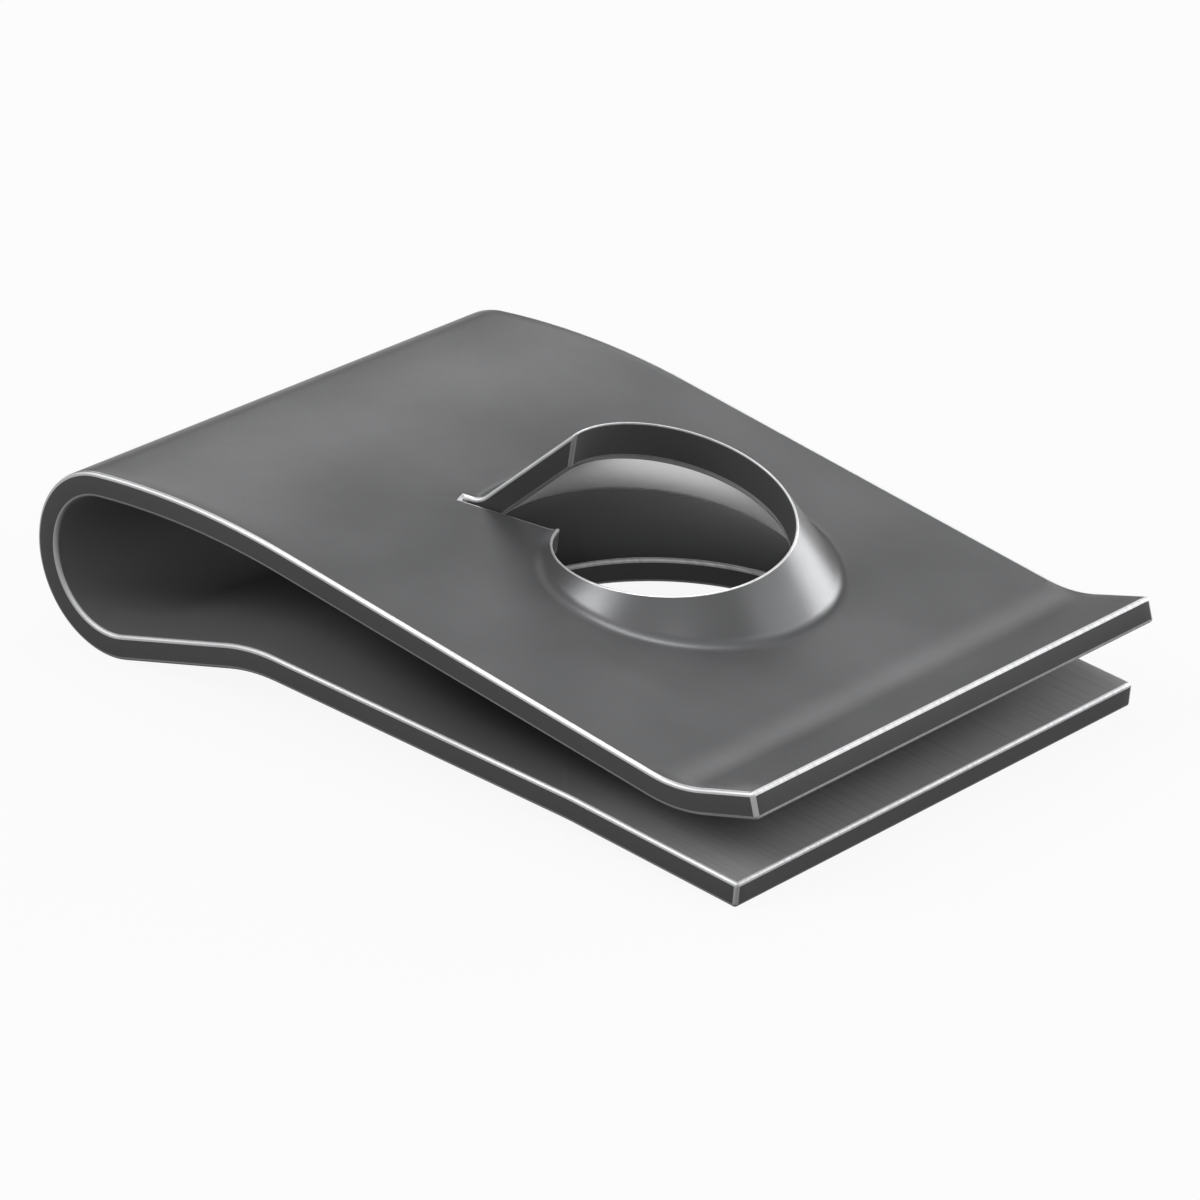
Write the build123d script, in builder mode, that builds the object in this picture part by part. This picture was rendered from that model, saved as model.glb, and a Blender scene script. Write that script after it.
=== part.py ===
from build123d import *
from build123d.topology import SkipClean
import os
from math import cos, radians, sin, tan

os.makedirs("parts", exist_ok=True)

# U clip speed nut: one strip of spring steel folded over on itself, with a
# screw impression in its upper leg and a clearance hole in its lower one.
# Frame: +X from the fold to the open end, Y across the strip, +Z up. The origin
# is the middle of the clip's length and width, on the plane that it rests on.
# Angles are in degrees, positive where the strip climbs towards the open end.

# strip
width = 14.3
thickness = 0.64

# fold and upper leg, as lengths and radii of the outer face
fold_radius = 2.38
shoulder_angle = 5.3  # the leg leaves the fold still climbing a little
crown_radius = 24.0  # then arches over
leg_angle = -9.7  # and falls towards the lower leg
flat_length = 11.6
lip_radius = 3.45
lip_angle = 14.4
lip_length = 1.6

# lower leg
heel_angle = 13.8  # the joggle that lifts the leg off the resting plane
heel_length = 3.67
knee_radius = 5.0
seat_angle = -3.4
seat_length = 9.2
tail_radius = 7.4
tail_angle = -5.9
tail_length = 4.9

# screw impression, for a No. 14 screw with 10 threads per inch
hole_station = 14.1  # both holes, from the back of the fold
bore_radius = 2.8
thread_pitch = 2.54
low_rim = 0.1  # height of the rim's low end over the leg
cone_angle = 50.0  # slope of the formed sheet
foot_bend = 0.5  # radius of the bend round the cone's foot
slit_angle = 200.0  # the slit runs back towards the fold, a little to one side
slit_gap = 2.0  # its opening, as an angle at the hole's axis

# clearance hole in the lower leg
clearance_radius = 4.9


# The strip's edge: its outer face is one tangent chain, drawn from the back of
# the fold at x = 0, and its inner face lies one thickness inside.
with BuildLine() as edge:
    fold = CenterArc(
        (fold_radius, fold_radius),
        fold_radius,
        90 + shoulder_angle,
        180 - shoulder_angle + heel_angle,
    )
    crown = JernArc(fold @ 0, -(fold % 0), crown_radius, leg_angle - shoulder_angle)
    flat = PolarLine(crown @ 1, flat_length, leg_angle)
    lip_bend = JernArc(flat @ 1, flat % 1, lip_radius, lip_angle - leg_angle)
    lip = PolarLine(lip_bend @ 1, lip_length, lip_angle)
    heel = PolarLine(fold @ 1, heel_length, heel_angle)
    knee = JernArc(heel @ 1, heel % 1, knee_radius, seat_angle - heel_angle)
    seat = PolarLine(knee @ 1, seat_length, seat_angle)
    tail_bend = JernArc(seat @ 1, seat % 1, tail_radius, tail_angle - seat_angle)
    tail = PolarLine(tail_bend @ 1, tail_length, tail_angle)
    offset(amount=thickness, side=Side.RIGHT)

reach = edge.line.bounding_box()
side = Plane(origin=(-reach.center().X, 0, -reach.min.Y), x_dir=(1, 0, 0), z_dir=(0, -1, 0))

with BuildPart() as strip:
    with BuildSketch(side):
        add(edge.line)
        make_face()
    extrude(amount=width / 2, both=True)


def seat_plane(face, slope):
    """Plane on a straight stretch of the outer face at the holes' station, z rising."""
    along = (hole_station - (face @ 0).X) / ((face @ 1).X - (face @ 0).X)
    tilt = radians(slope)
    return Plane(
        origin=side.from_local_coords(face @ along),
        x_dir=(cos(tilt), 0, sin(tilt)),
        z_dir=(-sin(tilt), 0, cos(tilt)),
    )


upper = seat_plane(flat, leg_angle)
lower = seat_plane(seat, seat_angle)

# The impression: a cone of sheet of one slope, whose foot winds outwards as it
# goes round. The rim that the bore leaves on it climbs one thread pitch a turn.
rise = tan(radians(cone_angle))
low_foot = bore_radius + low_rim / rise + foot_bend * tan(radians(cone_angle / 2))
high_foot = low_foot + thread_pitch / rise
front_foot = low_foot + (1 - slit_angle / 360) * thread_pitch / rise

# The circle on the leg inside which the flat strip gives way to formed sheet.
formed_radius = (high_foot + front_foot + thickness / 2) / 2
formed_centre = upper.origin + upper.x_dir * (front_foot - high_foot) / 2
formed = Plane(formed_centre, x_dir=upper.x_dir, z_dir=upper.z_dir)

with BuildPart() as collar:
    with BuildLine(upper):
        CenterArc((0, 0), bore_radius, slit_angle, 360 - slit_gap)
    for turn, foot in ((0, low_foot), (360 - slit_gap, high_foot)):
        outwards = upper.x_dir.rotate(Axis(upper.origin, upper.z_dir), slit_angle + turn)
        upright = Plane(upper.origin, x_dir=outwards, z_dir=outwards.cross(upper.z_dir))
        with BuildSketch(upright):
            with BuildLine():
                skirt = Line((2 * high_foot, 0), (foot, 0))
                bend = JernArc(skirt @ 1, skirt % 1, foot_bend, -cone_angle)
                PolarLine(
                    bend @ 1,
                    (bend @ 1).X - bore_radius / 2,
                    180 - cone_angle,
                    length_mode=LengthMode.HORIZONTAL,
                )
                offset(amount=thickness, side=Side.LEFT)
            make_face()
    sweep(multisection=True)
    with BuildSketch(formed):
        Circle(formed_radius)
    extrude(amount=2 * thread_pitch, both=True, mode=Mode.INTERSECT)

with BuildPart() as u_clip:
    add(strip.part)
    with BuildSketch(formed):
        Circle(formed_radius)
    extrude(amount=-1.5 * thickness, mode=Mode.SUBTRACT)
    add(collar.part)
    with BuildSketch(lower):
        Circle(clearance_radius)
    extrude(amount=1.5 * thickness, both=True, mode=Mode.SUBTRACT)
    # The bore is cut a quarter of a turn at a time, and its wall is left as four
    # faces, since each quarter of it stands at its own height on the climb.
    for start in (0, 90, 180, 270):
        with BuildSketch(upper.offset(-2 * thickness)):
            with BuildLine():
                quarter = CenterArc((0, 0), bore_radius, slit_angle + start, 90)
                Polyline(quarter @ 1, (0, 0), quarter @ 0)
            make_face()
        with SkipClean():
            extrude(amount=3 * thread_pitch, mode=Mode.SUBTRACT)

u_clip.part.label = "u_clip"
export_step(u_clip.part, "parts/u_clip.step")
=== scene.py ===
# %% [markdown]
# # A spring-steel U clip, dressed for its portrait
#
# The clip is one strip of hardened steel, folded over on itself so that it can
# be pushed onto the edge of a panel. Its upper leg carries a screw impression:
# a little cone of sheet whose rim climbs one thread pitch as it goes round. Its
# lower leg has a plain hole, so that the screw can reach that rim.
#
# The solid of the clip is loaded first. It is the fixed frame that the piece
# made here has to agree with, so its box is measured before anything is added.

# %% Load the solid and keep its box
from math import asin, atan2, cos, degrees, radians, sin, tan

import bmesh
import bpy
from mathutils import Matrix, Vector


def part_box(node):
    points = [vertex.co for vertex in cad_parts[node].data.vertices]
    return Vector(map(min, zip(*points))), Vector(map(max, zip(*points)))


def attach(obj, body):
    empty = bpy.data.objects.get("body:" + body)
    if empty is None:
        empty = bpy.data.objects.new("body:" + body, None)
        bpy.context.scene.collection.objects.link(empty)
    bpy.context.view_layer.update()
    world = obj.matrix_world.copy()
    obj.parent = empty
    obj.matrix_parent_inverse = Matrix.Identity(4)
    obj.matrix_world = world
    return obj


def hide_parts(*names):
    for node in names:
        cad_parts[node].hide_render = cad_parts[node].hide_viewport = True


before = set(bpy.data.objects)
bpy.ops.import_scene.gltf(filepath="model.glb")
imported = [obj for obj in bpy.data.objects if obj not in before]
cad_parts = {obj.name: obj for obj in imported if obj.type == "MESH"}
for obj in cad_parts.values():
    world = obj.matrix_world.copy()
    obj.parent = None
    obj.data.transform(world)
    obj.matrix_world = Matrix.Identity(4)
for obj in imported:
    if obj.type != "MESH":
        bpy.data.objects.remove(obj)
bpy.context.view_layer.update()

mm = 0.001


def in_mm(lengths):
    """Lengths in millimetres, rounded for printing."""
    return [round(length / mm, 3) for length in lengths]


low_corner, high_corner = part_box("u_clip")
print("solid's box:", in_mm(high_corner - low_corner), "mm")

# %% [markdown]
# ## The strip's measurements
#
# Sheet-metal parts are described by their outer face: straight runs, and bends
# with a radius and an angle. The same values shape the solid, so they are
# repeated here in metres. An angle is positive where the strip climbs towards
# the open end of the clip.

# %% Measurements of the strip and its folds
width = 14.3 * mm
thickness = 0.64 * mm

fold_radius = 2.38 * mm
shoulder_angle = 5.3
crown_radius = 24 * mm
leg_angle = -9.7
flat_length = 11.6 * mm
lip_radius = 3.45 * mm
lip_angle = 14.4
lip_length = 1.6 * mm

heel_angle = 13.8
heel_length = 3.67 * mm
knee_radius = 5 * mm
seat_angle = -3.4
seat_length = 9.2 * mm
tail_radius = 7.4 * mm
tail_angle = -5.9
tail_length = 4.9 * mm
print("strip's width and thickness:", in_mm((width, thickness)), "mm")

# %% Measurements of the impression and the clearance hole
hole_station = 14.1 * mm
bore_radius = 2.8 * mm
thread_pitch = 2.54 * mm
low_rim = 0.1 * mm
cone_angle = 50
foot_bend = 0.5 * mm
slit_angle = 200
slit_gap = 2
clearance_radius = 4.9 * mm
print("radii of the bore and the clearance hole:", in_mm((bore_radius, clearance_radius)), "mm")

# %% [markdown]
# ## Walking along the strip
#
# Seen from the side, the strip is a path. Two small helpers are all that the
# walk needs: the direction in which a run of a given slope goes, and the
# direction square to it. Each bend's centre and each run's ends follow from the
# ones before, so nothing has to be placed by eye.

# %% Directions along, square to and across a sloping run
def heading(slope):
    """Unit vector along a run that climbs at this slope."""
    return Vector((cos(radians(slope)), 0, sin(radians(slope))))


def square_up(slope):
    """Unit vector square to such a run, on its upper side."""
    return Vector((-sin(radians(slope)), 0, cos(radians(slope))))


across = Vector((0, 1, 0))

# %% The stations of the walk
fold_back = low_corner.x
fold_centre = Vector((fold_back + fold_radius, 0, fold_radius))
crown_centre = fold_centre + (fold_radius - crown_radius) * square_up(shoulder_angle)
flat_start = crown_centre + crown_radius * square_up(leg_angle)
flat_end = flat_start + flat_length * heading(leg_angle)
lip_centre = flat_end + lip_radius * square_up(leg_angle)

heel_start = fold_centre - fold_radius * square_up(heel_angle)
heel_end = heel_start + heel_length * heading(heel_angle)
knee_centre = heel_end - knee_radius * square_up(heel_angle)
seat_start = knee_centre + knee_radius * square_up(seat_angle)
seat_end = seat_start + seat_length * heading(seat_angle)
tail_centre = seat_end - tail_radius * square_up(seat_angle)


def at_hole_station(start, slope):
    """The point of a sloping run that lies on the holes' station."""
    return start + heading(slope) * (fold_back + hole_station - start.x) / cos(radians(slope))


bore_foot = at_hole_station(flat_start, leg_angle)
clearance_centre = at_hole_station(seat_start, seat_angle)
print("bore meets the leg at", in_mm(bore_foot), "mm")
print("clearance hole at", in_mm(clearance_centre), "mm")

# %% [markdown]
# ## Sheet as a surface first
#
# A folded part is easiest to model as one thin surface, its outer face, that
# gets its thickness at the end. Arcs are made by **spinning** the last edge of
# the strip about the bend's centre, and straight runs by **extruding** it. The
# strip is divided across its width as finely as the hole's rims need.
#
# The mesh also gets a few layers of its own: two that help to shape the cone and
# two that tell the material how each face is finished, one of which also carries a
# painted highlight on the bevels that face up. They are made before the first
# point, because adding a layer makes bmesh lose its hold on the points that were
# there already.

# %% The empty mesh and its layers
across_count = 40
along_count = 32
ring_count = 2 * (across_count + along_count)
strip = bmesh.new()
turn_of = strip.verts.layers.float.new("turn")  # degrees round the bore from the slit
row_of = strip.verts.layers.int.new("row")  # rows inwards from the formed ring
matt_mark = strip.faces.layers.float.new("matt")  # 0 oiled and shiny, 1 dry and dull
# The worn mark: bare steel on edges and cone, plus a painted highlight on upward bevels
wear_and_highlight_mark = strip.faces.layers.float.new("wear_and_highlight")  # 1 where bare steel shows
print("points round each hole:", ring_count)

# %% Helpers that carry the strip's last edge onwards
def edges_of(geometry):
    return [part for part in geometry if isinstance(part, bmesh.types.BMEdge)]


def verts_of(geometry):
    return [part for part in geometry if isinstance(part, bmesh.types.BMVert)]


def bend_strip(edges, centre, angle, steps):
    """Spins the edges about a bend's centre, climbing by this angle."""
    spun = bmesh.ops.spin(
        strip, geom=edges, cent=centre, axis=across, dvec=(0, 0, 0),
        angle=-radians(angle), steps=steps, use_merge=False, use_normal_flip=False,
        use_duplicate=False,
    )
    return edges_of(spun["geom_last"])


def run_strip(edges, step):
    """Extrudes the edges along a straight run."""
    grown = bmesh.ops.extrude_edge_only(strip, edges=edges)["geom"]
    bmesh.ops.translate(strip, verts=verts_of(grown), vec=step)
    return edges_of(grown)


# %% [markdown]
# ## The plate round a hole
#
# Both legs have a round opening in a rectangular stretch of sheet. Such a plate
# is two closed loops, a rectangle outside and a ring inside, that
# `bmesh.ops.bridge_loops` joins with a fan of four-sided faces. The rectangle is
# what is left of a grid when its inside is deleted, so its points are shared out
# evenly and its corners are exact. The plates are made lying flat at the origin,
# x along the strip and y across it, and are put in place afterwards.

# %% A rectangular loop in the flat plane, and its two ends
def rectangle_loop(start, length):
    """Outline of a plate that runs from x = start along the strip."""
    place = Matrix.Translation((start + length / 2, 0, 0)) @ Matrix.Diagonal((length, width, 1, 1))
    grid = bmesh.ops.create_grid(
        strip, x_segments=along_count, y_segments=across_count, size=0.5, matrix=place
    )["verts"]
    outline = [vert for vert in grid if vert.is_boundary]
    inside = [vert for vert in grid if not vert.is_boundary]
    bmesh.ops.delete(strip, geom=inside, context="VERTS")
    return list({edge for vert in outline for edge in vert.link_edges})


same_place = 1e-7


def edges_at(edges, along):
    """Those of the edges that lie right across the strip at x = along."""
    return [edge for edge in edges if all(abs(v.co.x - along) < same_place for v in edge.verts)]


# %% [markdown]
# ## The upper leg and its screw impression
#
# The press draws the sheet up into a cone and tears it along one radial slit, so
# that its rim can climb. Here the order is the same. The flat plate comes first,
# with a ring where the formed sheet begins. Then the ring's edges are extruded
# inwards row by row, all but the short one at the slit, and each new point is
# moved to where its row and its turn put it: the foot of the cone winds outwards
# as it goes round, and since the cone's slope stays the same, the rim climbs by
# one thread pitch.
#
# The ring is a circle round the whole of that winding foot, about a quarter of
# the sheet's thickness clear of it at the front and at the back. The foot reaches
# farther out at the back, so the circle's middle lies behind the bore's axis.

# %% How far out the cone's foot and the ring round it lie
rise = tan(radians(cone_angle))
turn_total = 360 - slit_gap
low_foot = bore_radius + low_rim / rise + foot_bend * tan(radians(cone_angle / 2))
high_foot = low_foot + thread_pitch / rise
front_foot = low_foot + (1 - slit_angle / 360) * thread_pitch / rise
formed_radius = (high_foot + front_foot + thickness / 2) / 2
formed_shift = (front_foot - high_foot) / 2
print("foot of the cone from", round(low_foot / mm, 2), "to", round(high_foot / mm, 2), "mm")

# %% [markdown]
# ## A section through the cone
#
# Cut through on any turn, the sheet leaves the leg in a small bend and goes on as
# a straight slope that ends on the bore's wall. A few rows share out the bend,
# and the last row is the slope. Where the foot lies close to the bore, the bore
# cuts the bend short, so there the rows of the bend stop a little before it and
# leave some length for the last row.

# %% How high the sheet stands
slope_rows = 1
bend_rows = 6
row_count = slope_rows + bend_rows
shortest_slope = 0.15 * mm


def bend_point(foot, lean, depth):
    """Point of the bend round the foot where the sheet leans by this angle."""
    radius = foot_bend + depth
    return foot - radius * sin(lean), foot_bend - radius * cos(lean)


def cone_section(row, turn, depth=0):
    """Distance from the bore's axis and height over the leg of one point of the
    sheet, on its outer face or at a depth under it."""
    foot = low_foot + (high_foot - low_foot) * turn / turn_total
    steepest = radians(cone_angle)
    full_bend = bend_point(foot, steepest, depth)
    if full_bend[0] > bore_radius:
        rim_height = full_bend[1] + (full_bend[0] - bore_radius) * rise
    else:
        rim_height = bend_point(foot, asin((foot - bore_radius) / (foot_bend + depth)), depth)[1]
    run = (foot - bore_radius - shortest_slope) / (foot_bend + depth)
    lean = min(steepest, asin(min(1, run)))
    if row < bend_rows:
        return bend_point(foot, lean * row / bend_rows, depth)
    top = bend_point(foot, lean, depth)
    share = (row - bend_rows) / slope_rows
    return top[0] + (bore_radius - top[0]) * share, top[1] + (rim_height - top[1]) * share


rim_heights = in_mm(cone_section(row_count, turn)[1] for turn in (0, turn_total))
print("rim's low and high end:", rim_heights, "mm over the leg")

# %% The flat plate with the ring where the formed sheet begins
ring = bmesh.ops.create_circle(strip, cap_ends=False, segments=ring_count, radius=1)["verts"]
for k, vert in enumerate(ring):
    vert[turn_of] = turn_total * k / (ring_count - 1)
    angle = radians(slit_angle + vert[turn_of])
    inset = formed_shift * cos(angle)
    out = inset + (inset * inset + formed_radius**2 - formed_shift**2) ** 0.5
    vert.co = Vector((out * cos(angle), out * sin(angle), 0))
ring_edges = list(strip.edges)
along_bore = (bore_foot - flat_start).length
outline = rectangle_loop(-along_bore, flat_length)
bmesh.ops.bridge_loops(strip, edges=ring_edges + outline)
rear = edges_at(outline, -along_bore)
front = edges_at(outline, flat_length - along_bore)
print("upper leg:", len(strip.faces), "faces round the ring")

# %% Draw the sheet up, one row after another
def place_in_cone(vert, depth=0):
    """Moves a point of the cone to where its row and its turn put it."""
    angle = radians(slit_angle + vert[turn_of])
    out, height = cone_section(vert[row_of] - 1, vert[turn_of], depth)
    vert.co = Vector((out * cos(angle), out * sin(angle), height))


chain = [edge for edge in ring_edges if set(edge.verts) != {ring[0], ring[-1]}]
for row in range(row_count + 1):
    grown = bmesh.ops.extrude_edge_only(strip, edges=chain)["geom"]
    for vert in verts_of(grown):
        vert[row_of] = row + 1
        place_in_cone(vert)
    chain = edges_of(grown)
print("upper leg with its cone:", len(strip.faces), "faces")

# %% Lay the finished plate on its leg
upper_leg = Matrix.Translation(bore_foot) @ Matrix(
    (heading(leg_angle), across, square_up(leg_angle))
).transposed().to_4x4()
bmesh.ops.transform(strip, matrix=upper_leg, verts=strip.verts)
print("top of the rim:", in_mm([max(vert.co.z for vert in strip.verts)]), "mm over the ground")

# %% [markdown]
# ## Lip, fold and joggle
#
# From the two ends of the upper leg the strip goes on by itself: forwards into
# the turned-up lip that lets a panel slide in, and backwards over the crown, round
# the fold and up the joggle that holds the lower leg off the ground. Each bend
# has as many steps as it needs to look round.

# %% Walk both ends of the strip onwards
lip_steps = 12
crown_steps = 12
fold_steps = 72
knee_steps = 8
lip_edge = bend_strip(front, lip_centre, lip_angle - leg_angle, lip_steps)
run_strip(lip_edge, lip_length * heading(lip_angle))

fold_turn = 180 - shoulder_angle + heel_angle
crown_edge = bend_strip(rear, crown_centre, shoulder_angle - leg_angle, crown_steps)
fold_edge = bend_strip(crown_edge, fold_centre, fold_turn, fold_steps)
heel_edge = run_strip(fold_edge, heel_length * heading(heel_angle))
knee_edge = bend_strip(heel_edge, knee_centre, seat_angle - heel_angle, knee_steps)
walk_end = knee_edge[0].verts[0].co
print("walk ends at x, z", in_mm(walk_end.xz), "and should at", in_mm(seat_start.xz), "mm")

# %% [markdown]
# ## The lower leg
#
# This plate has a plain hole, and a tail that bows down by a couple of degrees so
# that it doesn't dig into the panel. The hole reaches over the start of that
# bend, so the plate is made flat, cut right across where the bend begins and
# ends, and only then laid along the path.

# %% The flat lower leg with its clearance hole
tail_turn = radians(seat_angle - tail_angle)
tail_arc = tail_radius * tail_turn
cut_reach = 1e-8
already = set(strip.verts)
hole_place = Matrix.Translation(((clearance_centre - seat_start).length, 0, 0))
bmesh.ops.create_circle(
    strip, cap_ends=False, segments=ring_count, radius=clearance_radius, matrix=hole_place
)
hole_edges = [edge for edge in strip.edges if not already & set(edge.verts)]
outline = rectangle_loop(0, seat_length + tail_arc + tail_length)
bmesh.ops.bridge_loops(strip, edges=hole_edges + outline)
for along in (seat_length, seat_length + tail_arc):
    plate = [vert for vert in strip.verts if vert not in already]
    pieces = plate + list({part for vert in plate for part in (*vert.link_edges, *vert.link_faces)})
    bmesh.ops.bisect_plane(
        strip, geom=pieces, dist=cut_reach, plane_co=(along, 0, 0), plane_no=(1, 0, 0)
    )
print("lower leg:", len(strip.verts) - len(already), "points")

# %% Lay it along the path
def along_lower_leg(along):
    """Point on the underside's path at this distance from the start of the seat."""
    if along <= seat_length:
        return seat_start + along * heading(seat_angle)
    bent = min(along - seat_length, tail_arc)
    slope = seat_angle - degrees(bent / tail_radius)
    on_bend = tail_centre + tail_radius * square_up(slope)
    return on_bend + (along - seat_length - bent) * heading(slope)


for vert in strip.verts:
    if vert not in already:
        vert.co = along_lower_leg(vert.co.x) + vert.co.y * across
print("open end at x =", in_mm([max(vert.co.x for vert in strip.verts)]), "mm")

# %% Weld the stretches into one sheet whose faces look outwards
weld_reach = 1e-6
before = len(strip.verts)
bmesh.ops.remove_doubles(strip, verts=strip.verts, dist=weld_reach)
bmesh.ops.recalc_face_normals(strip, faces=strip.faces)
highest = max(strip.faces, key=lambda face: face.calc_center_median().z)
if highest.normal.z < 0:
    bmesh.ops.reverse_faces(strip, faces=strip.faces)
print("one sheet:", before - len(strip.verts), "points welded,", len(strip.faces), "faces")

# %% [markdown]
# ## Thickness, and an upright bore
#
# `bmesh.ops.solidify` copies the surface at one even distance and closes the gap
# along every open edge. It would leave the rim of the impression square to the
# cone, but the real bore is cut straight along the screw's axis. So the points
# under the cone are placed by the same section as those over it, one thickness
# deeper, and that section ends on the bore's wall.
#
# How many corners of a face lie on the outer surface tells where it is: all of
# them outside, none inside, and some on a sheared edge. The inside and the
# sheared edges are duller. The underside of the cone is the exception, because
# the punch that drew it up has polished it, and it mirrors the floor that it
# sees through the lower hole.

# %% Give the sheet its thickness, and note how each face was finished
sheared_matt = 0.9
polish = 1.2
outer_points = set(strip.verts)
bmesh.ops.solidify(strip, geom=strip.faces, thickness=thickness)
for face in strip.faces:
    outer_share = len(outer_points & set(face.verts)) / len(face.verts)
    if outer_share == 0 and all(vert[row_of] for vert in face.verts):
        face[wear_and_highlight_mark] = polish
    elif outer_share == 0:
        face[matt_mark] = 1
    elif outer_share < 1:
        face[matt_mark] = sheared_matt
under_cone = [vert for vert in strip.verts if vert not in outer_points and vert[row_of]]
for vert in under_cone:
    place_in_cone(vert, thickness)
bmesh.ops.transform(strip, matrix=upper_leg, verts=under_cone)
print(len(under_cone), "points placed under the cone; volume",
      round(strip.calc_volume() / mm**3, 1), "cubic mm")

# %% [markdown]
# ## Soft edges
#
# Sheared and deburred strip has no razor edges, and it is the small round along
# them that catches the light. Every edge where two faces meet at a steep angle
# is bevelled by about a tenth of a millimetre. The new faces are marked as bare
# steel: some of it on every bevel as edge wear, and more on the bevels that face
# up, which is a painted highlight for the light that falls on them from above. At
# the slit's tip two bevels end on one spot, so the face without any area that is
# left between them is dissolved.

# %% Bevel the steep edges and mark the faces that this makes
edge_round = 0.11 * mm
steep_angle = 40
side_wear = 0.35
# Extra bare steel on bevels that face up is a painted highlight
upward_painted_highlight = 0.65
no_length = edge_round / 500
steep = [edge for edge in strip.edges if edge.calc_face_angle(0) > radians(steep_angle)]
softened = bmesh.ops.bevel(
    strip, geom=steep, offset=edge_round, offset_type="OFFSET", affect="EDGES",
    segments=3, profile=0.5, material=-1, clamp_overlap=True,
)["faces"]
for face in softened:
    # Edge wear on every bevel, and a painted highlight growing with how far the bevel faces up
    face[wear_and_highlight_mark] = max(0, side_wear + upward_painted_highlight * face.normal.z)
print(len(steep), "edges softened with", len(softened), "faces")
bmesh.ops.dissolve_degenerate(strip, dist=no_length, edges=strip.edges)
for face in strip.faces:
    face.smooth = True

# %% [markdown]
# ## A map that follows the strip
#
# Rolled strip has fine marks along its length, and they run round the fold with
# it. The UV map is the strip laid flat, in metres: u is the distance along the
# outer face and v the place across. Each point is measured on the path that it
# lies next to, so the marks don't break at the bends. The legs slope so little
# that on them the distance is simply taken along x.

# %% Unroll the strip into its UV map
unrolled = strip.loops.layers.uv.new("unrolled")
fold_length = radians(fold_turn) * fold_radius


def distance_along(place):
    """Distance along the strip's path, from where the upper leg joins the fold."""
    arm = place - fold_centre
    angle = degrees(atan2(arm.z, arm.x)) % 360
    if arm.x < 0 and 90 + shoulder_angle < angle < 270:
        return radians(angle - 90 - shoulder_angle) * fold_radius
    if arm.z > 0:
        return -arm.x
    return fold_length + arm.x


for face in strip.faces:
    for loop in face.loops:
        loop[unrolled].uv = (distance_along(loop.vert.co), loop.vert.co.y)
print("length round the fold:", in_mm([fold_length]), "mm")

# %% Turn the finished mesh into the clip, without the two layers that shaped it
strip.verts.layers.float.remove(turn_of)
strip.verts.layers.int.remove(strip.verts.layers.int["row"])
clip_mesh = bpy.data.meshes.new("folded_clip")
strip.to_mesh(clip_mesh)
strip.free()
clip = bpy.data.objects.new("folded_clip", clip_mesh)
bpy.context.scene.collection.objects.link(clip)
even_light = clip.modifiers.new("even_light", "WEIGHTED_NORMAL")
even_light.keep_sharp = True
even_light.weight = 100
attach(clip, "root")
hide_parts("u_clip")
print("clip:", len(clip_mesh.polygons), "faces")

# %% [markdown]
# ## The finish of the steel
#
# Clips like this are hardened, then phosphated and dipped in oil. The result is a
# dark even grey that still shines like metal, brighter where it is seen at a
# shallow angle. Most of the oil stays on the outside, so the inside and the
# sheared edges are duller and darker. The edges and the punched cone show bare
# steel, and on the edges that face up that bare steel is also a painted highlight.
# Inside the mouth a faint share of it is painted light, paler towards the open end,
# and round the screw hole the inside is darkened as painted shade.
#
# One shader covers all of that, since the mesh carries the `matt` mark and a mark
# for bare steel and painted highlight. A material is a chain of nodes, so a few
# helpers come first that add a node and join it to those before it. With them the
# finish reads like a recipe.

# %% Helpers that add a node and join it to others
def set_input(tree, socket, value):
    """Joins another node's output to this input, or gives it a fixed value."""
    if isinstance(value, bpy.types.NodeSocket):
        tree.links.new(value, socket)
    else:
        socket.default_value = value


def add_node(tree, kind, *in_order, **by_name):
    """Adds a node. A named value is one of its settings or the input of that name,
    and values without a name go to its inputs in order."""
    node = tree.nodes.new(kind)
    for name, value in by_name.items():
        if hasattr(node, name):
            setattr(node, name, value)
        else:
            set_input(tree, node.inputs[name.replace("_", " ")], value)
    for socket, value in zip(node.inputs, in_order):
        set_input(tree, socket, value)
    return node


def combine(tree, operation, *values):
    """The result of a product, a maximum or the like."""
    return add_node(tree, "ShaderNodeMath", *values, operation=operation).outputs["Value"]


# %% The steel's material, and its own short helpers
grazing_tint = (0.8, 0.8, 0.8, 1)
steel = bpy.data.materials.new("phosphated_spring_steel")
steel.use_nodes = True
steel_tree = steel.node_tree
shader = steel_tree.nodes["Principled BSDF"]
shader.inputs["Specular Tint"].default_value = grazing_tint


def noise(where, scale, detail):
    """Soft noise with about this many patches to a unit of length."""
    return add_node(
        steel_tree, "ShaderNodeTexNoise", Vector=where, Scale=scale, Detail=detail, Roughness=0.5
    ).outputs["Fac"]


def ramp(value, start, end, low=0, high=1, curve="LINEAR"):
    """Goes from low to high while the value goes from start to end."""
    return add_node(
        steel_tree, "ShaderNodeMapRange", Value=value, From_Min=start, From_Max=end,
        To_Min=low, To_Max=high, interpolation_type=curve,
    ).outputs["Result"]


def mix(share, first, second):
    """A colour between two others, with this share of the second."""
    return add_node(
        steel_tree, "ShaderNodeMixRGB", Fac=share, Color1=first, Color2=second
    ).outputs["Color"]


# %% [markdown]
# ## Patterns in the finish
#
# Noise at three sizes varies the finish: the phosphate's crystals, the slow
# cloudiness of the oil, and the marks of the rolls along the strip. The first two
# are measured in the metal's own space. The roll marks are noise on the unrolled
# map, which is squeezed across the strip so that they come out as fine lines.

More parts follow.
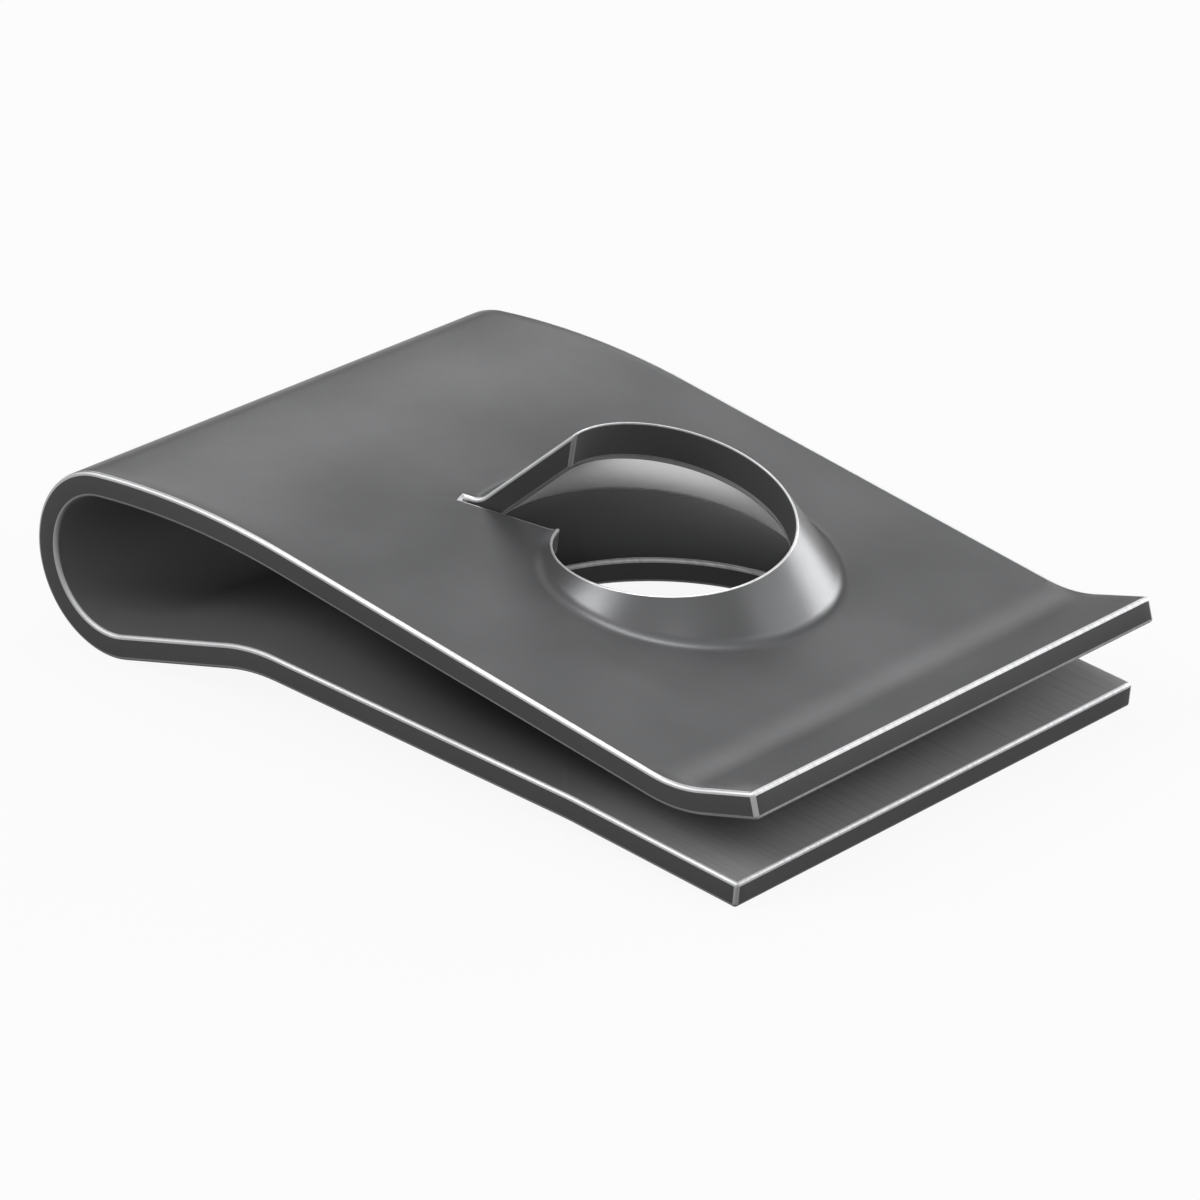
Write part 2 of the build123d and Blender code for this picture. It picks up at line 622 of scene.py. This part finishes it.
# %% Where on the metal, how it is finished, and where a highlight is painted
roll_marks_per_metre = (250, 9000, 1)
crystals_per_metre = 9000
clouds_per_metre = 260
space = add_node(steel_tree, "ShaderNodeTexCoord").outputs["Object"]
flat_map = add_node(steel_tree, "ShaderNodeUVMap", uv_map="unrolled").outputs["UV"]
squeezed = add_node(
    steel_tree, "ShaderNodeMapping", Vector=flat_map, Scale=roll_marks_per_metre
).outputs["Vector"]
crystals = noise(space, crystals_per_metre, 3)
clouds = noise(space, clouds_per_metre, 3)
roll_marks = noise(squeezed, 1, 1)
# Mark of bare steel, which on upward bevels is a painted highlight
wear_and_highlight = add_node(steel_tree, "ShaderNodeAttribute", attribute_name="wear_and_highlight").outputs["Fac"]
matt = add_node(steel_tree, "ShaderNodeAttribute", attribute_name="matt").outputs["Fac"]
print("patterns and marks:", len(steel_tree.nodes), "nodes")

# %% [markdown]
# ## Colour
#
# Outside, the phosphate is dark and a little cloudy. The sheared edges are darker.
# The inside is as grey as the outside, but darkened to nearly black round the
# screw hole as painted shade between the two legs. The `matt` mark tells the three
# apart: 0 outside, a little under 1 on the sheared edges and 1 inside.

# %% Colour of the phosphate outside, on the sheared edges and inside, and painted shade round the screw hole
dark_phosphate = (0.078, 0.079, 0.081, 1)
pale_phosphate = (0.108, 0.109, 0.112, 1)
sheared_grey = (0.05, 0.05, 0.051, 1)
inside_grey = (0.095, 0.095, 0.097, 1)
# Nearly black painted shade for the inside round the screw hole
painted_shade_black = (0.02, 0.02, 0.021, 1)

phosphate = mix(ramp(clouds, 0.3, 0.7), dark_phosphate, pale_phosphate)
from_screw = add_node(
    steel_tree, "ShaderNodeVectorMath", space, clearance_centre, operation="DISTANCE"
).outputs["Value"]
# Painted shade: inside faces darken towards the clearance hole, between the legs
painted_shade_near_hole = ramp(from_screw, 4 * mm, 8 * mm, 1, 0, "SMOOTHSTEP")
deep_inside = ramp(matt, sheared_matt, 1)
dull_side_with_painted_shade = mix(deep_inside, sheared_grey, mix(painted_shade_near_hole, inside_grey, painted_shade_black))
finished = mix(matt, phosphate, dull_side_with_painted_shade)
print("with the colours:", len(steel_tree.nodes), "nodes")

# %% [markdown]
# ## Bare steel, painted highlight and painted light
#
# Bare steel shows where the mark for bare steel and painted highlight says so; on
# the bevels that face up it is a painted highlight. Inside the mouth a faint share
# of it is painted light, growing towards the open end where light reaches in. The
# roll marks make it slightly uneven.

# %% Bare steel and painted highlight on marked faces, painted light inside the mouth
# The bare steel colour also paints the highlight on upward bevels and the light inside the mouth
bare_steel_and_highlight = (0.7, 0.7, 0.71, 1)
mouth_painted_light = 0.2
along_clip = add_node(steel_tree, "ShaderNodeSeparateXYZ", Vector=space).outputs["X"]
# Painted light: a faint share of bare steel inside, growing towards the open end
mouth = ramp(along_clip, 5 * mm, 11 * mm, 0, mouth_painted_light, "SMOOTHSTEP")
wear_and_painted_light = combine(steel_tree, "MULTIPLY_ADD", mouth, deep_inside, wear_and_highlight)
bare_and_painted_light = combine(steel_tree, "MULTIPLY", wear_and_painted_light, ramp(roll_marks, 0.35, 0.6, 0.9, 1.1))
set_input(steel_tree, shader.inputs["Base Color"], mix(bare_and_painted_light, finished, bare_steel_and_highlight))
print("with the bare steel:", len(steel_tree.nodes), "nodes")

# %% [markdown]
# ## Metal, shine and roughness
#
# Oiled phosphate is half a mineral, a dry one is hardly metal, and bare steel is
# all metal. Matt faces have no oil on them, so they hardly reflect. The rest is
# satin, with the crystals showing faintly in it.

# %% How the surface reflects
oiled_metal = 0.6
oiled_shine = 0.5
dry = 0.05
dulling = 0.25
satin = ramp(crystals, 0.3, 0.7, 0.32, 0.36)
metallic = combine(steel_tree, "MAXIMUM", ramp(matt, 0, 1, oiled_metal, dry), bare_and_painted_light)
roughness = combine(steel_tree, "MULTIPLY_ADD", matt, dulling, satin)
set_input(steel_tree, shader.inputs["Metallic"], metallic)
set_input(steel_tree, shader.inputs["Specular IOR Level"], ramp(matt, 0, 1, oiled_shine, dry))
set_input(steel_tree, shader.inputs["Roughness"], roughness)
print("with its shine:", len(steel_tree.nodes), "nodes")

# %% Relief: crystals and roll marks, both far shallower than the rounded edges
relief_height = 0.004 * mm
crystal_relief = add_node(
    steel_tree, "ShaderNodeBump", Strength=0.1, Distance=relief_height, Height=crystals
).outputs["Normal"]
relief = add_node(
    steel_tree, "ShaderNodeBump", Strength=0.2, Distance=relief_height, Height=roll_marks,
    Normal=crystal_relief,
).outputs["Normal"]
set_input(steel_tree, shader.inputs["Normal"], relief)
clip_mesh.materials.append(steel)
print("finish of the steel:", len(steel_tree.nodes), "nodes,", len(steel_tree.links), "links")

# %% [markdown]
# ## The stage
#
# A plain floor, a dim even sky, a few soft lamps and a long lens. The floor is lit
# like any grey paper. Rays from the camera, and those that a shiny surface sends
# on, see it lifted most of the way to white, so that it looks like white paper and
# still keeps the clip's shadow. Rays that light the clip see it as it is.

# %% Floor
floor_half_side = 1.5
floor_mesh = bpy.data.meshes.new("paper_floor")
paper = bmesh.new()
bmesh.ops.create_grid(paper, x_segments=1, y_segments=1, size=floor_half_side)
paper.to_mesh(floor_mesh)
paper.free()
floor = bpy.data.objects.new("paper_floor", floor_mesh)
bpy.context.scene.collection.objects.link(floor)
print("floor:", 2 * floor_half_side, "m square")

# %% Paper that is grey to the clip and white to the camera
white = (1, 1, 1, 1)
paper_grey = (0.4, 0.4, 0.4, 1)
whiteness = 0.92
paper_white = bpy.data.materials.new("paper_white")
paper_white.use_nodes = True
paper_tree = paper_white.node_tree
paper_tree.nodes.clear()
ray = add_node(paper_tree, "ShaderNodeLightPath").outputs
shown = combine(paper_tree, "MAXIMUM", ray["Is Camera Ray"], ray["Is Glossy Ray"])
lift = combine(paper_tree, "MULTIPLY", shown, whiteness)
lit = add_node(paper_tree, "ShaderNodeBsdfDiffuse", Color=paper_grey).outputs["BSDF"]
glow = add_node(paper_tree, "ShaderNodeEmission", Color=white, Strength=1).outputs["Emission"]
paper_look = add_node(paper_tree, "ShaderNodeMixShader", lift, lit, glow).outputs["Shader"]
add_node(paper_tree, "ShaderNodeOutputMaterial", Surface=paper_look)
floor_mesh.materials.append(paper_white)
print("paper:", len(paper_tree.nodes), "nodes")

# %% World: white to the camera, a dim even sky to everything else
sky_grey = (0.8, 0.8, 0.8, 1)
sky_strength = 0.22
studio = bpy.data.worlds.new("studio")
bpy.context.scene.world = studio
studio.use_nodes = True
studio_tree = studio.node_tree
studio_tree.nodes.clear()
to_camera = add_node(studio_tree, "ShaderNodeLightPath").outputs["Is Camera Ray"]
sky_light = add_node(studio_tree, "ShaderNodeBackground", Color=sky_grey, Strength=sky_strength)
backdrop = add_node(studio_tree, "ShaderNodeBackground", Color=white, Strength=1)
world_look = add_node(
    studio_tree, "ShaderNodeMixShader", to_camera,
    sky_light.outputs["Background"], backdrop.outputs["Background"],
)
add_node(studio_tree, "ShaderNodeOutputWorld", Surface=world_look.outputs["Shader"])
print("world:", len(studio_tree.nodes), "nodes")

# %% [markdown]
# ## The lamps
#
# Polished sheet shows what it mirrors, so each lamp has a job. The sky lamp stands
# where the flat upper leg mirrors it to the camera, and the narrow band lamp under
# it lights only the bends, which is what makes them readable. The key and the far
# lamp make the two bright flanks of the cone, and the others fill.

# %% Lamps
def soft_lamp(name, place, watts, size):
    """An area lamp of this width and height that faces the clip."""
    data = bpy.data.lights.new(name, "AREA")
    data.shape = "RECTANGLE"
    data.energy = watts
    data.size, data.size_y = size
    lamp = bpy.data.objects.new(name, data)
    lamp.location = place
    lamp.rotation_euler = Vector(place).to_track_quat("Z", "Y").to_euler()
    bpy.context.scene.collection.objects.link(lamp)
    print(name, "lamp,", round(lamp.location.length / mm), "mm from the clip")


soft_lamp("sky", (-0.199, 0.245, 0.246), 0.185, (0.34, 0.30))
soft_lamp("band", (-0.215, 0.225, 0.135), 0.065, (0.24, 0.03))
soft_lamp("overhead", (0.10, -0.08, 0.34), 0.95, (0.60, 0.60))
soft_lamp("top", (-0.04, 0.04, 0.28), 0.25, (0.14, 0.08))
soft_lamp("key", (-0.17, -0.22, 0.24), 0.82, (0.16, 0.16))
soft_lamp("right", (0.22, 0.16, 0.14), 0.30, (0.20, 0.20))
soft_lamp("far_side", (0.07, 0.28, 0.06), 0.62, (0.16, 0.12))
soft_lamp("front", (0.22, -0.24, 0.20), 0.20, (0.20, 0.20))

# %% [markdown]
# ## The camera
#
# The view is a three-quarter one from the open end, a little above the clip, with
# a long lens, so that the strip's sides stay nearly parallel. The eye stands some
# 15 cm back, and the two angles give the direction from the clip to it.

# %% Camera
azimuth = radians(42.07)
elevation = radians(24.17)
eye = Vector((0.09135, -0.10077, 0.06291))
towards_eye = Vector(
    (sin(azimuth) * cos(elevation), -cos(azimuth) * cos(elevation), sin(elevation))
)
lens = bpy.data.cameras.new("portrait")
lens.sensor_width = 36
lens.lens = 187.2
lens.clip_start = 5 * mm
camera = bpy.data.objects.new("portrait", lens)
camera.location = eye
camera.rotation_euler = towards_eye.to_track_quat("Z", "Y").to_euler()
bpy.context.scene.collection.objects.link(camera)
bpy.context.scene.camera = camera
bpy.context.scene.view_settings.view_transform = "Standard"
print("camera:", round(eye.length / mm), "mm from the origin")
